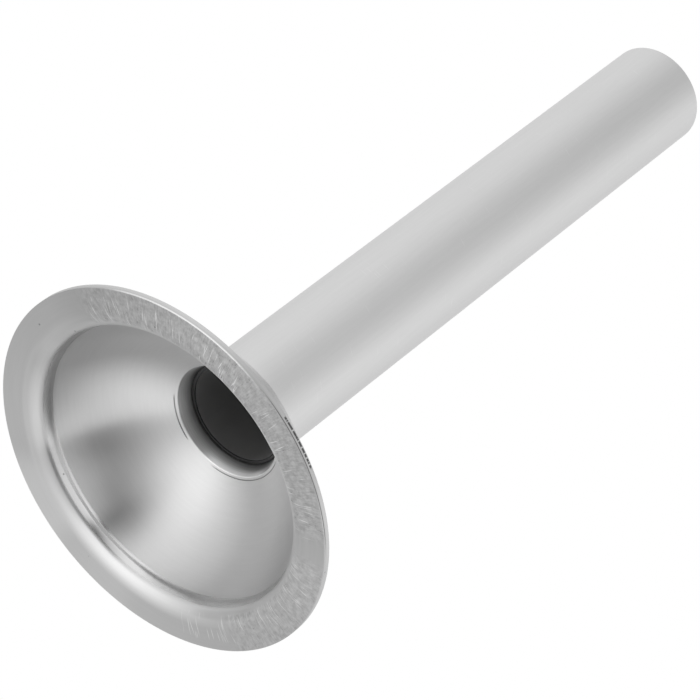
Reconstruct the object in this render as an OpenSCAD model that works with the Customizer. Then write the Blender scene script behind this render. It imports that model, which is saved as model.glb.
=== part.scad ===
// Sausage stuffing tube: a spun steel flange and bowl with a drawn neck,
// a straight tube seated in the neck, and the weld ring that holds them.
// The flat flange face lies at z = 0 and the tube points along +z.

/* [Flange] */
// Outside diameter of the flange, which the ring nut clamps
flange_d = 82; // [74:0.5:110]
// Width of the flat face, from the rim to the rolled edge
face_w = 4.8; // [3:0.1:8]
// Thickness of the spun sheet, the same in flange, bowl and neck
sheet_t = 1.5; // [1:0.1:2]
// Radius of the rolled edge inside the flat face
roll_r = 6.3; // [4:0.1:8]
// Slope at which the rolled edge turns into the knee, from the face's plane
roll_slope = 35; // [25:1:45]
// Radius of the knee between the rolled edge and the wall, on the back of the sheet
knee_r = 0.5; // [0.3:0.1:2]

/* [Bowl] */
// Slope of the bowl's wall behind the knee, from the face's plane
wall_slope = 66; // [55:1:75]
// Length of the straight wall between the knee and the bowl's arc
wall_len = 2.3; // [0.5:0.1:4]
// Depth from the flat face to the end of the bend behind the bowl
bowl_depth = 23.7; // [18:0.1:30]
// Radius of that bend, on the back of the sheet, where the bowl turns into the neck
bend_r = 1.3; // [0.8:0.1:2.5]

/* [Mouth] */
// Slope of the reamed mouth inside the neck, from the tube's axis
mouth_taper = 18; // [12:1:24]
// Length that the mouth is reamed past the end of the bend
mouth_ream = 0.6; // [0.3:0.1:1]
// Radius of the edge where the bowl turns into the mouth
mouth_edge_r = 0.4; // [0.2:0.1:1]

/* [Neck] */
// Length of the neck that the tube's front end is pushed into
seat_len = 0.4; // [0.3:0.1:6]
// Thickness of the neck's wall, which is drawn thinner than the sheet
neck_wall = 1.1; // [0.8:0.1:1.5]
// Radial clearance between the neck and the tube's turned seat
neck_clearance = 0.05; // [0.05:0.01:0.2]

/* [Tube] */
// Outside diameter of the tube, which the casing is pulled over
tube_od = 23.7; // [16:0.1:30]
// Wall thickness of the tube
tube_wall = 1; // [0.8:0.1:1.5]
// Length of the tube
tube_len = 156; // [100:0.5:220]
// Depth turned off the tube's outside where it seats in the neck
seat_step = 0.2; // [0.15:0.05:0.3]
// Distance of the tube's front end behind the end of the mouth
tube_setback = 0.2; // [0.1:0.1:2]

/* [Weld] */
// Length of the weld ring along the tube, behind the neck
weld_len = 1.3; // [1:0.1:3]
// Height of the weld's crown above a straight line between its toes
weld_crown = 0.15; // [0.1:0.05:0.3]

/* [Hidden] */
$fn = 180;
// Straight steps in each arc of the spun section
arc_steps = 16;

flange_r = flange_d / 2;
tube_r = tube_od / 2;
seat_r = tube_r - seat_step;
neck_r = seat_r + neck_clearance;
mouth_end_z = bowl_depth + mouth_ream;
tube_front_z = mouth_end_z + tube_setback;
neck_end_z = tube_front_z + seat_len;
tube_end_z = tube_front_z + tube_len;

// The rolled edge bends about its centre from the face to the knee, which
// bends on more tightly to the slope of the wall
roll_normal = [sin(roll_slope), cos(roll_slope)];
wall_normal = [sin(wall_slope), cos(wall_slope)];
wall_along = [-cos(wall_slope), sin(wall_slope)];
roll_c = [flange_r - face_w, roll_r];
knee_front_r = knee_r + sheet_t;
knee_c = roll_c - (roll_r - knee_front_r) * roll_normal;
bowl_start = knee_c - knee_front_r * wall_normal + wall_len * wall_along;

// The sheet bends into the neck about this centre, and the bowl is the one
// arc that goes on from the wall at its slope and meets the bend smoothly
neck_out_r = neck_r + neck_wall;
bend_c = [neck_out_r + bend_r, bowl_depth];
bend_from_bowl = bend_c - bowl_start;
bend_front_r = bend_r + sheet_t;
bowl_r = (bend_from_bowl * bend_from_bowl - bend_front_r * bend_front_r)
    / (2 * (bend_front_r - bend_from_bowl * wall_normal));
bowl_c = bowl_start - bowl_r * wall_normal;
bend_dir = atan2(bend_c.y - bowl_c.y, bend_c.x - bowl_c.x);

// The reamed mouth is a cone, and its edge is rounded about the point that
// lies the edge's radius behind both the cone and the bowl
mouth_out = [cos(mouth_taper), sin(mouth_taper)];
mouth_fore = [sin(mouth_taper), -cos(mouth_taper)];
mouth_foot = [neck_r, mouth_end_z] + mouth_edge_r * mouth_out - bowl_c;
mouth_edge_far = bowl_r + mouth_edge_r;
mouth_along = -(mouth_foot * mouth_fore) - sqrt(
    pow(mouth_foot * mouth_fore, 2) - mouth_foot * mouth_foot + mouth_edge_far * mouth_edge_far);
mouth_edge_c = bowl_c + mouth_foot + mouth_along * mouth_fore;
mouth_dir = atan2(mouth_edge_c.y - bowl_c.y, mouth_edge_c.x - bowl_c.x);

// The weld fills the groove between the neck's end and the shoulder behind
// the seat, with one toe on the neck's outside corner and one on the shoulder's
shoulder_z = neck_end_z + weld_len;
neck_toe = [neck_out_r, neck_end_z];
tube_toe = [tube_r, shoulder_z];
weld_chord = norm(neck_toe - tube_toe);
weld_face_r = (weld_chord * weld_chord / 4 + weld_crown * weld_crown) / (2 * weld_crown);
weld_out = [weld_len, neck_toe.x - tube_toe.x] / weld_chord;
weld_c = (neck_toe + tube_toe) / 2 - (weld_face_r - weld_crown) * weld_out;
weld_dir = atan2(weld_out.y, weld_out.x);
weld_span = 2 * asin(weld_chord / (2 * weld_face_r));

// Points on an arc about a centre, from one direction to another,
// leaving out a number of points at its start and at its end
function arc(centre, r, from, to, skip_first = 0, skip_last = 0) = [
    for (i = [skip_first:arc_steps - skip_last])
        let (a = from + (to - from) * i / arc_steps)
            centre + r * [cos(a), sin(a)]
];

// The sheet's front, which the meat runs over: rolled edge, knee, bowl and mouth
front_side = concat(
    arc(roll_c, roll_r, 270, 270 - roll_slope),
    arc(knee_c, knee_front_r, 270 - roll_slope, 270 - wall_slope, skip_first = 1),
    arc(bowl_c, bowl_r, 90 - wall_slope, mouth_dir),
    arc(mouth_edge_c, mouth_edge_r, 180 + mouth_dir, 180 + mouth_taper, skip_first = 1),
    [[neck_r, mouth_end_z]]
);

// The sheet's back, one sheet behind the front as far as the bend
back_side = concat(
    arc(roll_c, roll_r - sheet_t, 270, 270 - roll_slope),
    arc(knee_c, knee_r, 270 - roll_slope, 270 - wall_slope, skip_first = 1),
    arc(bowl_c, bowl_r + sheet_t, 90 - wall_slope, bend_dir),
    arc(bend_c, bend_r, 180 + bend_dir, 180, skip_first = 1)
);

function reversed(points) = [for (i = [len(points) - 1:-1:0]) points[i]];

module flange_cup() {
    color("silver")
        rotate_extrude()
            polygon(concat(
                [[flange_r, 0]],
                front_side,
                [[neck_r, neck_end_z], neck_toe],
                reversed(back_side),
                [[flange_r, sheet_t]]
            ));
}

// The tube's far end is rounded, so that it doesn't tear the casing
module tube() {
    bore_r = tube_r - tube_wall;
    round_z = tube_end_z - tube_wall / 2;
    color("gainsboro")
        rotate_extrude() {
            polygon([
                [bore_r, tube_front_z],
                [seat_r, tube_front_z],
                [seat_r, shoulder_z],
                tube_toe,
                [tube_r, round_z],
                [bore_r, round_z]
            ]);
            translate([tube_r - tube_wall / 2, round_z])
                circle(tube_wall / 2);
        }
}

module weld_bead() {
    color("darkgray")
        rotate_extrude()
            polygon(concat(
                [[seat_r, neck_end_z], neck_toe],
                arc(weld_c, weld_face_r, weld_dir - weld_span / 2, weld_dir + weld_span / 2,
                    skip_first = 1, skip_last = 1),
                [tube_toe, [seat_r, shoulder_z]]
            ));
}

flange_cup();
tube();
weld_bead();
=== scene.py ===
import math

import bpy
import numpy as np
from mathutils import Matrix, Vector


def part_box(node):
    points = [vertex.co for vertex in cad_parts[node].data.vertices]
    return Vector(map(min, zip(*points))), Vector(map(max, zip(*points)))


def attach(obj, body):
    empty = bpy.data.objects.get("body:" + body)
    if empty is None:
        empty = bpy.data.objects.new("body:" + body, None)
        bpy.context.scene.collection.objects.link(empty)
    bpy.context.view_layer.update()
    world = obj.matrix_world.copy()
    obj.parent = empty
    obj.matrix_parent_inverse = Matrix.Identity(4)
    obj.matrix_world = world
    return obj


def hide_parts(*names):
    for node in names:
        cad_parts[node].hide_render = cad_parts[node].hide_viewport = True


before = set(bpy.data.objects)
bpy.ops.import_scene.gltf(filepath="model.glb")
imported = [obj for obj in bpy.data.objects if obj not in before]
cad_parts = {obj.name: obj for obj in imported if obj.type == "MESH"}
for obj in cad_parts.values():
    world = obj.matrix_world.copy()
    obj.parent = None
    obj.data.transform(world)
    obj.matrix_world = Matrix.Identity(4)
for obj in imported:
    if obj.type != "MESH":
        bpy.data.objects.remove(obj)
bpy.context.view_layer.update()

# Flange cup: one disc of stainless sheet, spun and drawn into the flat flange, the
# rolled edge, the concave bowl and the short neck with its reamed mouth. It is
# brushed round the axis, and the ring nut has scored and clouded its flange.
MM = 0.001
cup_low, cup_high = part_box("flange_cup")
flange_r = (cup_high.y - cup_low.y) / 2
face_w = 4.8 * MM
sheet_t = 1.5 * MM
corner_r = 0.12 * MM
roll_r = 6.3 * MM
roll_slope = math.radians(35)
knee_r = 2.0 * MM
wall_slope = math.radians(66)
wall_len = 2.3 * MM
bowl_depth = 23.7 * MM
bend_r = 1.3 * MM
mouth_taper = math.radians(18)
mouth_end_z = 24.3 * MM
mouth_edge_r = 0.4 * MM
neck_r = 11.7 * MM
neck_wall = 1.1 * MM
neck_end_z = 24.9 * MM
quarter = math.pi / 2


def arc(centre, radius, start, end, steps):
    """Points on a circle about a centre: centre plus radius times (cosine, sine)
    of an angle that runs evenly from start to end, both in radians."""
    a = np.linspace(start, end, steps)
    return np.stack([centre[0] + radius * np.cos(a), centre[1] + radius * np.sin(a)], 1)


def line(start, end, steps):
    """Points spaced evenly on the straight line from start to end."""
    share = np.linspace(0, 1, steps)[:, None]
    return np.array(start) * (1 - share) + np.array(end) * share


def joined(*stretches):
    """One outline from stretches laid end to end, each leaving out the point
    where the one before it ends."""
    return np.concatenate([stretches[0]] + [s[1:] for s in stretches[1:]])


def length_of(outline):
    """The length of an outline: the sum of the distances from point to point."""
    return float(np.linalg.norm(np.diff(outline, axis=0), axis=1).sum())


def leaning(slope):
    """The direction from the front of the sheet into it, where the sheet slopes
    that much from the plane of the flat face: (sine, cosine) of the slope."""
    return np.array([math.sin(slope), math.cos(slope)])


def meeting(corner, ahead, centre, radius):
    """Where a straight line from a corner first comes within a radius of a
    centre: the corner plus the smaller root of the quadratic times the line."""
    far = corner - centre
    across = far @ ahead
    return corner + (-across - math.sqrt(across ** 2 - far @ far + radius ** 2)) * ahead


# The centres of the section's arcs. The bowl is the one arc that goes on from the
# wall at its slope and meets the bend into the neck smoothly. Its last stretch,
# where the groove lies, gets finer points.
roll_c = np.array([flange_r - face_w, roll_r])
knee_c = roll_c - (roll_r - knee_r) * leaning(roll_slope)
knee_end = knee_c - knee_r * leaning(wall_slope)
bowl_start = knee_end + wall_len * np.array([-math.cos(wall_slope), math.sin(wall_slope)])
neck_out = neck_r + neck_wall
bend_c = np.array([neck_out + bend_r, bowl_depth])
bend_far = bend_c - bowl_start
bend_front = bend_r + sheet_t
bowl_r = (bend_far @ bend_far - bend_front ** 2) / (2 * (bend_front - bend_far @ leaning(wall_slope)))
bowl_c = bowl_start - bowl_r * leaning(wall_slope)
bend_dir = math.atan2(bend_c[1] - bowl_c[1], bend_c[0] - bowl_c[0])
mouth_foot = np.array([neck_r, mouth_end_z])
mouth_fore = np.array([math.sin(mouth_taper), -math.cos(mouth_taper)])
mouth_out = np.array([math.cos(mouth_taper), math.sin(mouth_taper)])
mouth_c = meeting(mouth_foot + mouth_edge_r * mouth_out, mouth_fore, bowl_c, bowl_r + mouth_edge_r)
mouth_dir = math.atan2(mouth_c[1] - bowl_c[1], mouth_c[0] - bowl_c[0])
fine_from = mouth_dir - 1.4 * MM / bowl_r

# The section starts in the middle of the cut edge and runs over the front into the
# neck, then over the back. The last number of each stretch is its count of points.
front_side = joined(
    line([flange_r, sheet_t / 2], [flange_r, corner_r], 4),
    arc([flange_r - corner_r, corner_r], corner_r, 0, -quarter, 6),
    line([flange_r - corner_r, 0], [roll_c[0], 0], 14),
    arc(roll_c, roll_r, -quarter, -quarter - roll_slope, 26),
    arc(knee_c, knee_r, -quarter - roll_slope, -quarter - wall_slope, 16),
    line(knee_end, bowl_start, 36),
    arc(bowl_c, bowl_r, quarter - wall_slope, fine_from, 74),
    arc(bowl_c, bowl_r, fine_from, mouth_dir, 36),
    arc(mouth_c, mouth_edge_r, math.pi + mouth_dir, math.pi + mouth_taper, 14),
    line(mouth_c - mouth_edge_r * mouth_out, mouth_foot, 16),
    line(mouth_foot, [neck_r, neck_end_z - corner_r], 12),
)
back_side = joined(
    arc([neck_r + corner_r, neck_end_z - corner_r], corner_r, math.pi, quarter, 4),
    line([neck_r + corner_r, neck_end_z], [neck_out - corner_r, neck_end_z], 3),
    arc([neck_out - corner_r, neck_end_z - corner_r], corner_r, quarter, 0, 4),
    line([neck_out, neck_end_z - corner_r], [neck_out, bowl_depth], 8),
    arc(bend_c, bend_r, math.pi, math.pi + bend_dir, 10),
    arc(bowl_c, bowl_r + sheet_t, bend_dir, quarter - wall_slope, 50),
    line(bowl_start + sheet_t * leaning(wall_slope), knee_end + sheet_t * leaning(wall_slope), 4),
    arc(knee_c, knee_r - sheet_t, -quarter - wall_slope, -quarter - roll_slope, 6),
    arc(roll_c, roll_r - sheet_t, -quarter - roll_slope, -quarter, 12),
    line([roll_c[0], sheet_t], [flange_r - corner_r, sheet_t], 8),
    arc([flange_r - corner_r, sheet_t - corner_r], corner_r, quarter, 0, 6),
    line([flange_r, sheet_t - corner_r], [flange_r, sheet_t / 2], 4),
)
cup_outline = joined(front_side, back_side)

# Where each form ends, as a distance along the section
edge_to = sheet_t / 2 + 0.1 * MM
roll_to = sheet_t / 2 - corner_r + corner_r * quarter + face_w - corner_r + roll_r * roll_slope
knee_to = roll_to + knee_r * (wall_slope - roll_slope)
bowl_to = knee_to + wall_len + bowl_r * (mouth_dir - quarter + wall_slope)
front_to = bowl_to + 2.5 * MM
neck_to, outline_to = length_of(front_side), length_of(cup_outline)

# What working the sheet has added to the section: waves, a step in the wall and a
# groove. A band is (low, high, edge): full from low to high, fading over the edge
# outside them. The sides are such bands, in shares of the turn past the seam.
# The waves are let in by so many times their size, and outside its tight sides
# the step is so many times as wide and as deep.
seam_turn = math.radians(110)
wander = 0.006 * MM
let_in = 1.5
knee_wander = 0.02 * MM
knee_spread = 1.2 * MM
step_at = knee_to + 1.45 * MM
step_w = 0.42 * MM
step_deep = 0.11 * MM
step_fade = 8.0 * MM
tight_sides = ((0.88, 1.05, 0.1), (-0.05, -0.01, 0.1))
loose_w, loose_deep = 2.1, 1.8
groove_at = bowl_to - 0.55 * MM
groove_w = 0.1 * MM
groove_deep = 0.13 * MM
groove_sides = ((0.65, 0.86, 0.03), (0.98, 1.02, 0.02), (-0.02, 0.08, 0.02))


def between(value, *bands):
    """One inside any of some bands (low, high, edge), fading to nought outside:
    the sum, band by band, of a rising cubic step times a falling one."""
    inside = 0
    for low, high, edge in bands:
        up = np.clip((value - low) / edge + 1, 0, 1)
        down = np.clip((high - value) / edge + 1, 0, 1)
        inside = inside + up * up * (3 - 2 * up) * down * down * (3 - 2 * down)
    return inside


def waves(along, turn, rounds, length, rng):
    """A gentle unevenness: the sum of twelve sines over the root of twelve, each
    of the turn, up to so many rounds of waves, and of the distance along, in waves
    no shorter than the length, with a phase of its own."""
    height = 0
    for _ in range(12):
        across, phase = rng.integers(-rounds, rounds + 1), rng.uniform(0, 2 * np.pi)
        height = height + np.sin(across * turn + 2 * np.pi * along * rng.uniform(0.3, 1) / length + phase)
    return height / 12 ** 0.5


def cup_lift(along, turn):
    """How far the worked sheet stands off its section. It is the sum of gentle
    waves over the front, let in so that none stands past the face, and stronger
    ones under a bell curve where the knee was bent; less a step in the wall, half
    of one plus a hyperbolic tangent, tight on one stretch, broader and deeper on
    the rest, that dies away over the bowl; less a groove beside the mouth, a
    narrow bell curve, on two stretches of the turn."""
    rng = np.random.default_rng(7)
    side = turn / (2 * np.pi)
    front = between(along, (2.0 * MM, front_to - 0.5 * MM, 1.0 * MM))
    gentle = (waves(along, turn, 14, 30 * MM, rng) - let_in) * wander * front
    knee = np.exp(-((along - knee_to) / knee_spread) ** 2)
    strong = waves(along, turn, 26, 12 * MM, rng) * knee_wander * knee
    tight = between(side, *tight_sides)
    width = step_w * (loose_w + (1 - loose_w) * tight)
    past = along - step_at
    step = (1 + np.tanh(past / width * 1.2)) / 2 * np.exp(-np.maximum(past - width, 0) / step_fade)
    step = step * (loose_deep + (1 - loose_deep) * tight) * (along < front_to)
    groove = np.exp(-((along - groove_at) / groove_w) ** 2) * between(side, *groove_sides)
    return gentle + strong - step_deep * step - groove_deep * groove


def revolved(name, outline, turns, seam, lift):
    """A closed outline of (radius, height) points turned once round the z axis,
    from the direction of its seam. Point (i, j) is (radius i times cosine of turn
    j, radius i times sine of turn j, height i), first moved off the outline along
    its own normal by lift(distance along the outline, turn past the seam). Each
    normal is the cross product of the differences between its neighbours both
    ways. The UV map is (distance along the outline in metres, share of a turn)."""
    ring = outline[:-1]
    rows = len(ring)
    along = np.concatenate([[0.0], np.cumsum(np.linalg.norm(np.diff(outline, axis=0), axis=1))])
    turn = np.arange(turns) * 2 * np.pi / turns
    stand = lift(along[:-1, None], turn[None, :])
    ahead = np.roll(ring, -1, 0) - np.roll(ring, 1, 0)
    ahead /= np.linalg.norm(ahead, axis=1, keepdims=True)
    radius = ring[:, :1] - ahead[:, 1:] * stand
    height = ring[:, 1:] + ahead[:, :1] * stand
    points = np.stack([radius * np.cos(turn + seam), radius * np.sin(turn + seam), height], 2)
    down = np.roll(points, -1, 0) - np.roll(points, 1, 0)
    across = np.roll(points, -1, 1) - np.roll(points, 1, 1)
    normals = np.cross(across, down)
    normals /= np.linalg.norm(normals, axis=2, keepdims=True)
    i, j = np.meshgrid(np.arange(rows), np.arange(turns), indexing="ij")
    i2, j2 = (i + 1) % rows, (j + 1) % turns
    quads = np.stack([i * turns + j, i * turns + j2, i2 * turns + j2, i2 * turns + j], 2).reshape(-1)
    uv = np.stack([
        np.stack([along[i], along[i], along[i + 1], along[i + 1]], 2),
        np.stack([j, j + 1, j + 1, j], 2) / turns,
    ], 3).reshape(-1)
    mesh = bpy.data.meshes.new(name)
    mesh.vertices.add(rows * turns)
    mesh.vertices.foreach_set("co", points.astype(np.float32).reshape(-1))
    mesh.loops.add(len(quads))
    mesh.loops.foreach_set("vertex_index", quads.astype(np.int32))
    mesh.polygons.add(rows * turns)
    mesh.polygons.foreach_set("loop_start", np.arange(0, len(quads), 4, dtype=np.int32))
    mesh.uv_layers.new(name="section").data.foreach_set("uv", uv.astype(np.float32))
    mesh.update(calc_edges=True)
    mesh.polygons.foreach_set("use_smooth", np.ones(rows * turns, dtype=bool))
    mesh.normals_split_custom_set_from_vertices(normals.reshape(-1, 3).tolist())
    piece = bpy.data.objects.new(name, mesh)
    bpy.context.scene.collection.objects.link(piece)
    return piece


cup = revolved("flange_cup_skin", cup_outline, 288, seam_turn, cup_lift)
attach(cup, "root")
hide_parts("flange_cup")


def node(tree, kind, inputs=(), **settings):
    """A shader node of one kind with its settings made, and each input either
    linked to another node's output or set to a plain value."""
    made = tree.nodes.new("ShaderNode" + kind)
    for name, value in settings.items():
        setattr(made, name, value)
    for key, value in dict(inputs).items():
        if isinstance(value, bpy.types.NodeSocket):
            tree.links.new(value, made.inputs[key])
        else:
            made.inputs[key].default_value = value
    return made


def worked(tree, operation, a, b=0.0, clamp=False):
    """One or two numbers worked on by one arithmetic operation."""
    return node(tree, "Math", {0: a, 1: b}, operation=operation, use_clamp=clamp).outputs[0]


def product(tree, first, *others):
    """Numbers multiplied together."""
    for value in others:
        first = worked(tree, "MULTIPLY", first, value)
    return first


def total(tree, start, *parts):
    """A starting number plus each part times its weight."""
    for value, weight in parts:
        start = worked(tree, "ADD", start, worked(tree, "MULTIPLY", value, weight))
    return start


def stepped(tree, value, low, high, start=0.0, end=1.0):
    """A smooth step from a start to an end as a value goes from low to high."""
    return node(tree, "MapRange", {"Value": value, "From Min": low, "From Max": high,
                                   "To Min": start, "To Max": end}, interpolation_type="SMOOTHSTEP").outputs[0]


def banded(tree, value, *bands):
    """One inside any of some bands (low, high, edge), fading to nought outside:
    the sum, band by band, of a rising smooth step times a falling one, held to
    one."""
    inside = 0.0
    for low, high, edge in bands:
        band = product(tree, stepped(tree, value, low - edge, low), stepped(tree, value, high, high + edge, 1.0, 0.0))
        inside = worked(tree, "ADD", inside, band, clamp=True)
    return inside


def toned(tree, value):
    """A grey colour whose three parts are one number."""
    return node(tree, "CombineColor", {0: value, 1: value, 2: value}).outputs[0]


def group(name, inputs, output):
    """An empty node group with input sockets of some names and kinds and one
    number that it puts out: its tree, its inputs and the place of that number."""
    tree = bpy.data.node_groups.new(name, "ShaderNodeTree")
    for socket, kind in inputs:
        tree.interface.new_socket(socket, in_out="INPUT", socket_type="NodeSocket" + kind)
    tree.interface.new_socket(output, in_out="OUTPUT", socket_type="NodeSocketFloat")
    return tree, tree.nodes.new("NodeGroupInput").outputs, tree.nodes.new("NodeGroupOutput").inputs[0]


# Scratches: the surface is cut into long narrow cells that lean by a slant, and
# a scratch lies in the middle of some of them, thinner towards its ends.
scratches, given, put_out = group("scratches", [(n, "Float") for n in (
    "Across", "Along", "Slant", "Space", "Length", "Share")], "Mask")
leaned = worked(scratches, "ADD", given["Across"], product(scratches, given["Slant"], given["Along"]))
cell = node(scratches, "CombineXYZ", {0: worked(scratches, "DIVIDE", leaned, given["Space"]),
                                      1: worked(scratches, "DIVIDE", given["Along"], given["Length"])})
cells = node(scratches, "TexVoronoi", {"Vector": cell.outputs[0], "Scale": 1.0}, voronoi_dimensions="2D")
chance = node(scratches, "SeparateColor", {0: cells.outputs["Color"]})
there = worked(scratches, "LESS_THAN", chance.outputs[0], given["Share"])
core = stepped(scratches, cells.outputs["Distance"], 0.1, 0.26, 1.0, 0.0)
strength = worked(scratches, "ADD", chance.outputs[1], 0.35, clamp=True)
scratches.links.new(product(scratches, core, strength, there), put_out)

# Turned grain: fine uneven rings round the axis, as brushing and reaming leave
# them. The noise reads the distance along the section at a fine pitch, and the
# direction round the axis at a coarse one, so it has no seam.
turned, given, put_out = group("turned_grain", [
    ("Section", "Float"), ("Object", "Vector"), ("Pitch", "Float"), ("Length", "Float")], "Grain")
flat = node(turned, "VectorMath", {0: given["Object"], 1: (1, 1, 0)}, operation="MULTIPLY")
unit = node(turned, "VectorMath", {0: flat.outputs[0]}, operation="NORMALIZE")
around = node(turned, "VectorMath", {0: unit.outputs[0], "Scale": given["Length"]}, operation="SCALE")
around = node(turned, "SeparateXYZ", {0: around.outputs[0]}).outputs
at = node(turned, "CombineXYZ", {0: worked(turned, "DIVIDE", given["Section"], given["Pitch"]),
                                 1: around[0], 2: around[1]})
rings = node(turned, "TexNoise", {"Vector": at.outputs[0], "Scale": 1.0, "Detail": 3.0, "Roughness": 0.6})
turned.links.new(rings.outputs[0], put_out)


def scratched(tree, across, along, slant, space, length, share):
    """One layer of scratches, from the two distances that place them."""
    return node(tree, "Group", {"Across": across, "Along": along, "Slant": slant, "Space": space,
                                "Length": length, "Share": share}, node_tree=scratches).outputs[0]


def ringed(tree, section, place, pitch, length):
    """One layer of turned grain, with its pitch and its length round the axis."""
    return node(tree, "Group", {"Section": section, "Object": place, "Pitch": pitch, "Length": length},
                node_tree=turned).outputs[0]


def steel_material(name, roughness):
    """A bare steel material: itself, its tree and its shader, which has a plain
    roughness until a finish is linked in its place."""
    material = bpy.data.materials.new(name)
    material.use_nodes = True
    tree = material.node_tree
    tree.nodes.clear()
    shader = node(tree, "BsdfPrincipled", {"Metallic": 1.0, "Roughness": roughness})
    node(tree, "OutputMaterial", {"Surface": shader.outputs[0]})
    return material, tree, shader


def mapped(tree):
    """Where the surface is: its object coordinates, the distance along the
    section in metres, and the share of the turn."""
    section = node(tree, "SeparateXYZ", {0: node(tree, "UVMap", uv_map="section").outputs[0]})
    return node(tree, "TexCoord").outputs["Object"], section.outputs[0], section.outputs[1]


# The scratches are laid out by distances in millimetres, and those across them
# hold at the radius of the wear.
steel, tree, shader = steel_material("spun_steel", 0.34)
place, section, share = mapped(tree)
wear_r = 38 * MM
along_mm = product(tree, section, 1 / MM)
across_mm = product(tree, share, 2 * math.pi * wear_r / MM)
height_mm = product(tree, node(tree, "SeparateXYZ", {0: place}).outputs[2], 1 / MM)
grain = ringed(tree, section, place, pitch=0.6 * MM, length=3.0)
clouds = node(tree, "TexNoise", {"Vector": place, "Scale": 700.0, "Detail": 4.0, "Roughness": 0.7}).outputs[0]
broad = node(tree, "TexNoise", {"Vector": place, "Scale": 60.0, "Detail": 2.0}).outputs[0]

# The ring nut has worn two stretches of the flange: cloudy, and scored across by
# short strokes, the nearer one also duller. Besides these there are a faint
# smudge on the rolled edge, partly painted shadow of the knee, and a few tiny pits.
near_side = (0.265, 0.565, 0.02)
worn = banded(tree, share, near_side, (0.612, 0.745, 0.02))
scored = product(tree, banded(tree, share, near_side, (0.612, 0.8, 0.02)), banded(tree, along_mm, (3.2, 8.2, 0.9)))
marks = 0.0
for slant, space, length, amount in ((-0.04, 0.42, 11.0, 0.22), (-0.16, 0.5, 9.0, 0.18), (0.06, 0.4, 7.0, 0.18)):
    marks = worked(tree, "MAXIMUM", marks, scratched(tree, across_mm, along_mm, slant, space, length, amount))
marks = product(tree, marks, scored)
rub_size = (0.35, 2.2)
rubs = node(tree, "CombineXYZ", {0: worked(tree, "DIVIDE", across_mm, rub_size[0]),
                                 1: worked(tree, "DIVIDE", along_mm, rub_size[1])}).outputs[0]
rubs = node(tree, "TexNoise", {"Vector": rubs, "Scale": 1.0, "Detail": 3.0, "Roughness": 0.6}).outputs[0]
mottle = total(tree, -0.5, (stepped(tree, clouds, 0.3, 0.7), 0.6), (stepped(tree, rubs, 0.3, 0.7), 0.4))
mottle = product(tree, mottle, worn, banded(tree, along_mm, (1.2, 8.4, 0.8)))
dulled = product(tree, banded(tree, share, (0.26, 0.57, 0.06)), banded(tree, along_mm, (0.9, 7.5, 1.5)))
# Painted shadow of the knee on the rolled edge, mixed with a faint smudge.
smudge_and_shadow = product(tree, stepped(tree, broad, 0.2, 0.6), banded(tree, share, (0.735, 0.78, 0.03)),
                 banded(tree, along_mm, (8.3, 9.0, 0.9)))
pits = node(tree, "TexVoronoi", {"Vector": place, "Scale": 160.0}).outputs["Distance"]
pits = stepped(tree, pits, 0.02, 0.045, 1.0, 0.0)

# The forming tool has burnished the wall below the knee, most of all on the
# stretch where it bore hardest. The face is painted a little lighter there, as
# painted light, and a little darker over most of the rest, as painted shade.
# Beside that stretch the rolled edge is painted darker, as shade that dims its highlight.
hardest = banded(tree, share, (0.9, 1.1, 0.07), (-0.1, -0.01, 0.09))
tooled = banded(tree, section, (knee_to + 0.2 * MM, knee_to + wall_len - 0.2 * MM, 0.45 * MM))
tooled = product(tree, tooled, total(tree, 0.25, (hardest, 0.75)))
face = banded(tree, along_mm, (1.2, 5.5, 1.5))
# Painted light on the face by the hardest stretch, and painted shade on the rest of it.
face_light = product(tree, banded(tree, share, (0.97, 1.1, 0.03), (-0.1, 0.015, 0.03)), face)
face_shade = product(tree, banded(tree, share, (0.03, 0.86, 0.03)), face)
# Painted shade on the rolled edge, dimming its highlight.
roll_shade = product(tree, banded(tree, share, (0.04, 0.14, 0.04)), banded(tree, along_mm, (7.2, 9.6, 1.2)))

# The mouth is painted darker towards the tube, as shade going into the bore, and
# the reamer has left fine rings in it. Its edge has a painted highlight at the
# lower side, and the groove beside it is painted darker, as shade.
mouth = worked(tree, "LESS_THAN", section, neck_to)
# Painted shade, deepening from the mouth's edge towards the tube.
mouth_shade = product(tree, stepped(tree, section, bowl_to + 0.3 * MM, neck_to), mouth)
reamed = product(tree, stepped(tree, section, bowl_to, bowl_to + 0.4 * MM), mouth)
reamer = worked(tree, "SUBTRACT", ringed(tree, section, place, pitch=0.15 * MM, length=2.0), 0.5)
reamer = product(tree, reamer, reamed)
# Painted highlight on the mouth's edge at the lower side, which is also rougher there.
mouth_highlight = product(tree, stepped(tree, section, bowl_to - 0.1 * MM, bowl_to + 0.1 * MM),
               stepped(tree, section, bowl_to + 0.6 * MM, bowl_to + 2.4 * MM, 1.0, 0.0),
               banded(tree, share, (0.74, 0.87, 0.06)))
# Painted shade in the groove beside the mouth.
groove_shade = product(tree, banded(tree, share, *groove_sides),
                banded(tree, section, (groove_at - 0.05 * MM, groove_at + 0.05 * MM, 0.1 * MM)))

# The cut edge has a painted highlight along its front corner on one stretch, and
# on another a dark line painted near that corner, as shade, and beside it a painted
# dark reflection in a streak of short dashes.
edge = worked(tree, "ADD", worked(tree, "LESS_THAN", section, edge_to),
              worked(tree, "GREATER_THAN", section, outline_to - edge_to), clamp=True)
# Painted highlight on the front corner of the cut edge.
edge_highlight = product(tree, banded(tree, share, (0.31, 0.41, 0.03)), banded(tree, height_mm, (0.0, 0.2, 0.15)), edge)
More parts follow.
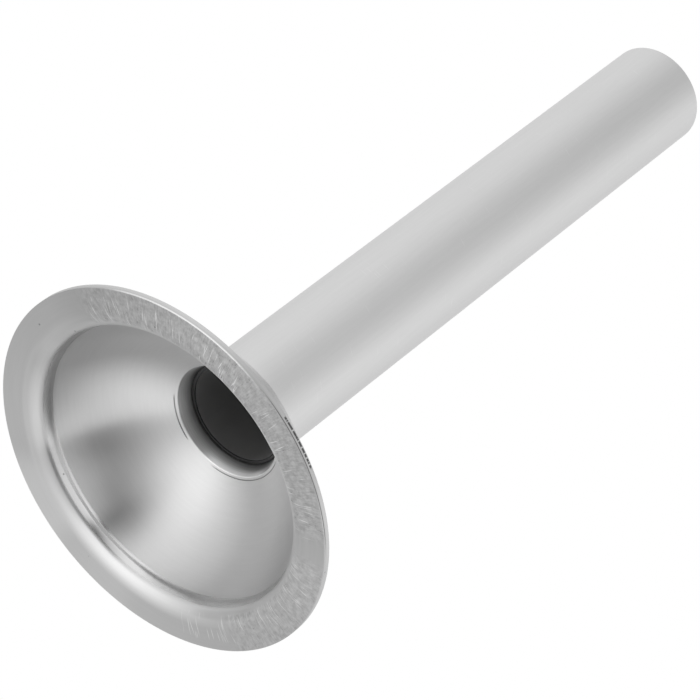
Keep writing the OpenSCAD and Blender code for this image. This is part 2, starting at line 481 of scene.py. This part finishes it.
# Painted shade: a dark line near the front corner of the cut edge.
edge_dark_line = product(tree, banded(tree, share, (0.465, 0.56, 0.03)), banded(tree, height_mm, (0.22, 0.32, 0.12)), edge)
dashes_a_turn = 560.0
dashes = node(tree, "TexNoise", {"W": product(tree, share, dashes_a_turn), "Scale": 1.0, "Detail": 1.0},
              noise_dimensions="1D").outputs[0]
# Painted dark reflection on the cut edge, in short dashes.
dark_reflection_dashes = product(tree, stepped(tree, dashes, 0.34, 0.46), banded(tree, share, (0.469, 0.51, 0.003)),
               banded(tree, height_mm, (0.85, 1.2, 0.12)), edge)

tone = total(
    tree, 0.6, (grain, 0.05), (mottle, 0.26), (marks, 0.28), (dulled, -0.08), (smudge_and_shadow, -0.12), (pits, -0.3),
    (face_light, 0.1), (face_shade, -0.04), (roll_shade, -0.1), (mouth_highlight, 0.38), (groove_shade, -0.3), (reamer, 0.3),
    (edge_highlight, 0.3), (edge_dark_line, -0.35), (dark_reflection_dashes, -0.5))
# The painted shade darkens the mouth towards the tube.
tone = worked(tree, "MAXIMUM", product(tree, tone, total(tree, 1.0, (mouth_shade, -0.8))), 0.03)
inner = stepped(tree, section, 16 * MM, 29 * MM)
rough = total(
    tree, 0.27, (inner, 0.04), (broad, 0.06), (marks, 0.08), (mottle, 0.06), (reamed, 0.08), (edge, 0.1),
    (tooled, -0.15), (mouth_highlight, 0.12))
brushed = total(tree, 0.9, (tooled, -0.4))
brushed_along = node(tree, "Tangent", direction_type="UV_MAP", uv_map="section")
relief = total(tree, 0.0, (grain, 0.15), (marks, -0.35), (reamer, 0.6))
bump = node(tree, "Bump", {"Height": relief, "Strength": 1.0, "Distance": 0.006 * MM})
for value, socket in ((toned(tree, tone), "Base Color"), (rough, "Roughness"), (brushed, "Anisotropic"),
                      (brushed_along.outputs[0], "Tangent"), (bump.outputs[0], "Normal")):
    tree.links.new(value, shader.inputs[socket])
cup.data.materials.append(steel)

# Tube: a straight, thin-walled stainless tube seated in the neck from behind.
# Its outside is satin, its far end is rounded for the casing, and its inside is
# duller and painted darker, as shade in the bore. Its cut front end is painted
# near black, as shade.
tube_low, tube_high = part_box("tube")
tube_r = (tube_high.y - tube_low.y) / 2
tube_front_z, tube_end_z = tube_low.z, tube_high.z
tube_wall = 1.0 * MM
seat_step = 0.2 * MM
shoulder_z = neck_end_z + 1.3 * MM
seat_r, bore_r = tube_r - seat_step, tube_r - tube_wall
end_round = tube_wall / 2
round_z = tube_end_z - end_round
tube_wander = 0.006 * MM

tube_outline = joined(
    line([bore_r + corner_r, tube_front_z], [seat_r - corner_r, tube_front_z], 6),
    arc([seat_r - corner_r, tube_front_z + corner_r], corner_r, -quarter, 0, 5),
    line([seat_r, tube_front_z + corner_r], [seat_r, shoulder_z - seat_step], 6),
    line([seat_r, shoulder_z - seat_step], [tube_r, shoulder_z], 4),
    line([tube_r, shoulder_z], [tube_r, round_z], 60),
    arc([tube_r - end_round, round_z], end_round, 0, math.pi, 16),
    line([bore_r, round_z], [bore_r, tube_front_z + corner_r], 60),
    arc([bore_r + corner_r, tube_front_z + corner_r], corner_r, 2 * quarter, 3 * quarter, 5),
)
front_face = seat_r - bore_r - 2 * corner_r
shoulder_from = front_face + corner_r * quarter + shoulder_z - seat_step - tube_front_z - corner_r
inside_from = shoulder_from + seat_step * 2 ** 0.5 + round_z - shoulder_z + end_round * math.pi


def tube_lift(along, turn):
    """How far the drawn tube stands off its section: gentle waves, long along the
    tube, on the outside only."""
    outside = between(along, (14 * MM, inside_from - 5 * MM, 4 * MM))
    return waves(along, turn, 7, 90 * MM, np.random.default_rng(11)) * tube_wander * outside


tube = revolved("tube_skin", tube_outline, 256, seam_turn, tube_lift)
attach(tube, "root")
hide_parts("tube")

satin, tree, shader = steel_material("tube_steel", 0.42)
place, section, share = mapped(tree)
# Painted shade inside the bore, which is also rougher.
inside = stepped(tree, section, inside_from - 0.4 * MM, inside_from + 0.2 * MM)
# Painted shade on the tube's cut front end.
end_face_shade = worked(tree, "MAXIMUM", worked(tree, "LESS_THAN", section, front_face + 2 * corner_r),
                  worked(tree, "GREATER_THAN", section, length_of(tube_outline) - 3 * corner_r))
along_mm = product(tree, section, 1 / MM)
across_mm = product(tree, share, 2 * math.pi * tube_r / MM)
drawn_out = node(tree, "Mapping", {"Vector": place, "Scale": (1, 1, 0.06)}).outputs[0]
drawn = node(tree, "TexNoise", {"Vector": drawn_out, "Scale": 1500.0, "Detail": 3.0, "Roughness": 0.6}).outputs[0]
broad = node(tree, "TexNoise", {"Vector": place, "Scale": 55.0, "Detail": 2.0}).outputs[0]
hairs = scratched(tree, along_mm, across_mm, slant=0.25, space=0.36, length=5.6, share=0.025)
tone = product(tree, total(tree, 0.61, (drawn, 0.05), (hairs, 0.06)), total(tree, 1.0, (inside, -0.3)),
               total(tree, 1.0, (end_face_shade, -0.9)))
rough = total(tree, 0.39, (broad, 0.05), (inside, 0.15))
bump = node(tree, "Bump", {"Height": drawn, "Strength": 1.0, "Distance": 0.001 * MM})
for value, socket in ((toned(tree, tone), "Base Color"), (rough, "Roughness"), (bump.outputs[0], "Normal")):
    tree.links.new(value, shader.inputs[socket])
tube.data.materials.append(satin)

# Weld: the ring that joins the back of the neck to the tube. It is laid in short
# overlapping beads, so it stays a little rippled and dull.
weld_crown = 0.15 * MM
ripple = 0.02 * MM
neck_toe = np.array([neck_out, neck_end_z])
tube_toe = np.array([tube_r, shoulder_z])
chord = np.linalg.norm(neck_toe - tube_toe)
weld_face_r = (chord ** 2 / 4 + weld_crown ** 2) / (2 * weld_crown)
weld_normal = np.array([tube_toe[1] - neck_toe[1], neck_toe[0] - tube_toe[0]]) / chord
weld_c = (neck_toe + tube_toe) / 2 - (weld_face_r - weld_crown) * weld_normal
weld_dir = math.atan2(weld_normal[1], weld_normal[0])
weld_half = math.asin(chord / 2 / weld_face_r)
weld_face = weld_face_r * 2 * weld_half
weld_outline = joined(
    arc(weld_c, weld_face_r, weld_dir + weld_half, weld_dir - weld_half, 14)[::-1],
    line(tube_toe, [seat_r, shoulder_z], 3),
    line([seat_r, shoulder_z], [seat_r, neck_end_z], 4),
    line([seat_r, neck_end_z], neck_toe, 4),
)


def weld_lift(along, turn):
    """The ripples of the weld: a sine of the turn whose phase wanders, plus a
    weaker slow one, times a sine that is highest at the middle of the face."""
    crown = np.clip(np.sin(np.pi * along / weld_face), 0, 1) * (along < weld_face)
    return ripple * crown * (np.sin(64 * turn + 1.5 * np.sin(5 * turn)) + 0.4 * np.sin(17 * turn + 2))


weld = revolved("weld_skin", weld_outline, 360, seam_turn, weld_lift)
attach(weld, "root")
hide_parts("weld_bead")

dull, tree, shader = steel_material("weld_steel", 0.45)
place = node(tree, "TexCoord").outputs["Object"]
specks = node(tree, "TexNoise", {"Vector": place, "Scale": 2500.0, "Detail": 3.0, "Roughness": 0.7}).outputs[0]
tree.links.new(toned(tree, total(tree, 0.55, (specks, 0.1))), shader.inputs["Base Color"])
bump = node(tree, "Bump", {"Height": specks, "Strength": 1.0, "Distance": 0.008 * MM})
tree.links.new(bump.outputs[0], shader.inputs["Normal"])
weld.data.materials.append(dull)

# Camera: it looks at the bowl from below and in front of the flange, as the
# photo does, and is turned so that the tube points up to the right.
camera_place = Vector((0, -0.5352, -0.4016))
camera_aim = Vector((0.0038, 0, 0.0589))
camera_turn = math.radians(52.28)
picture_px = 700
focal_px = 3385
sensor_mm = 36.0

ahead = (camera_aim - camera_place).normalized()
axis_up = (Vector((0, 0, 1)) - ahead.z * ahead).normalized()
axis_right = ahead.cross(axis_up)
right = math.sin(camera_turn) * axis_up + math.cos(camera_turn) * axis_right
up = math.cos(camera_turn) * axis_up - math.sin(camera_turn) * axis_right
camera = bpy.data.objects.new("camera", bpy.data.cameras.new("camera"))
camera.data.sensor_width = sensor_mm
camera.data.lens = sensor_mm * focal_px / picture_px
camera.data.clip_start, camera.data.clip_end = 0.01, 20
camera.matrix_world = Matrix((right, up, -ahead)).transposed().to_4x4()
camera.location = camera_place
bpy.context.scene.collection.objects.link(camera)
bpy.context.scene.camera = camera
bpy.context.scene.view_settings.view_transform = "Standard"

# Studio: a pale tent of soft light all round, brighter and darker in soft round
# patches, darkest where the camera looks through it. One panel has a firm edge,
# which the bowl mirrors as a line. The camera itself sees plain white.
world = bpy.data.worlds.new("tent")
world.use_nodes = True
bpy.context.scene.world = world
sky = world.node_tree
sky.nodes.clear()
look = node(sky, "TexCoord").outputs["Generated"]


def toward(right_deg, up_deg):
    """The direction that lies some degrees to the right of the camera and above
    it, as seen from the object."""
    a, b = math.radians(right_deg), math.radians(up_deg)
    return (-ahead * math.cos(a) * math.cos(b) + right * math.sin(a) * math.cos(b)
            + up * math.sin(b)).normalized()


def cosine(centre):
    """The cosine of the angle between a direction of the sky and a centre: the
    dot product of the two."""
    return node(sky, "VectorMath", {0: look, 1: centre}, operation="DOT_PRODUCT").outputs["Value"]


def patch(centre, width_deg):
    """A soft round patch of the sky: the exponential of (the cosine of the angle
    from its centre, less one, over the square of its width)."""
    fall = product(sky, worked(sky, "SUBTRACT", cosine(centre), 1.0), 1 / math.radians(width_deg) ** 2)
    return worked(sky, "EXPONENT", fall)


# Each patch: degrees to the right, degrees up, width in degrees, strength
light = 0.864
for right_deg, up_deg, width_deg, strength in (
    (-46, -12, 18.5, 1.09),
    (-42, -72, 17.8, 0.81),
    (94, -28, 27.6, 0.39),
    (176, 70, 42.8, 0.27),
    (0, 53, 22.4, 0.35),
    (31, 13, 9.7, 0.36),
    (-23, -16, 8.1, 0.26),
    (32, -13, 9.6, 0.21),
    (2, 10, 12, -1.31),
    (7, -11, 11.6, -0.53),
    (13, -35, 14.2, -0.8),
    (23, -35, 6.3, -0.91),
    (20, 21, 4.5, -0.7),
    (-111, 5, 31.2, -0.28),
    (-64, -82, 34.9, -0.42),
    (111, 38, 25.6, -0.47),
):
    light = total(sky, light, (patch(toward(right_deg, up_deg), width_deg), strength))
past_panel = cosine(toward(-23, 59))
panel = product(sky, stepped(sky, past_panel, -0.375, -0.405), stepped(sky, past_panel, -0.75, -0.42),
                patch(toward(25, -52), 35))
light = worked(sky, "MAXIMUM", total(sky, light, (panel, 0.28)), 0.03)

tent = node(sky, "Background", {"Color": (1, 1, 1, 1), "Strength": light})
white = node(sky, "Background", {"Color": (1, 1, 1, 1), "Strength": 1.0})
seen = node(sky, "LightPath").outputs["Is Camera Ray"]
mix = node(sky, "MixShader", {"Fac": seen, 1: tent.outputs[0], 2: white.outputs[0]})
node(sky, "OutputWorld", {"Surface": mix.outputs[0]})

# Floor: a plain pale round under the flange. It is seen only by the camera and
# only from above, so the photo's view from below looks past it.
floor_r = 6.0
floor_gap = 0.2 * MM
angle = np.linspace(0, 2 * np.pi, 65)[:-1]
corners = np.stack([floor_r * np.cos(angle), floor_r * np.sin(angle), 0 * angle - floor_gap], 1)
floor_mesh = bpy.data.meshes.new("floor")
floor_mesh.from_pydata(corners.tolist(), [], [list(range(len(corners)))])
floor = bpy.data.objects.new("floor", floor_mesh)
bpy.context.scene.collection.objects.link(floor)
pale = bpy.data.materials.new("floor_pale")
pale.use_nodes = True
tree = pale.node_tree
tree.nodes.clear()
paint = node(tree, "BsdfDiffuse", {"Color": (0.85, 0.85, 0.85, 1)})
clear = node(tree, "BsdfTransparent")
front = worked(tree, "SUBTRACT", 1.0, node(tree, "NewGeometry").outputs["Backfacing"])
seen = product(tree, front, node(tree, "LightPath").outputs["Is Camera Ray"])
mix = node(tree, "MixShader", {"Fac": seen, 1: clear.outputs[0], 2: paint.outputs[0]})
node(tree, "OutputMaterial", {"Surface": mix.outputs[0]})
floor.data.materials.append(pale)
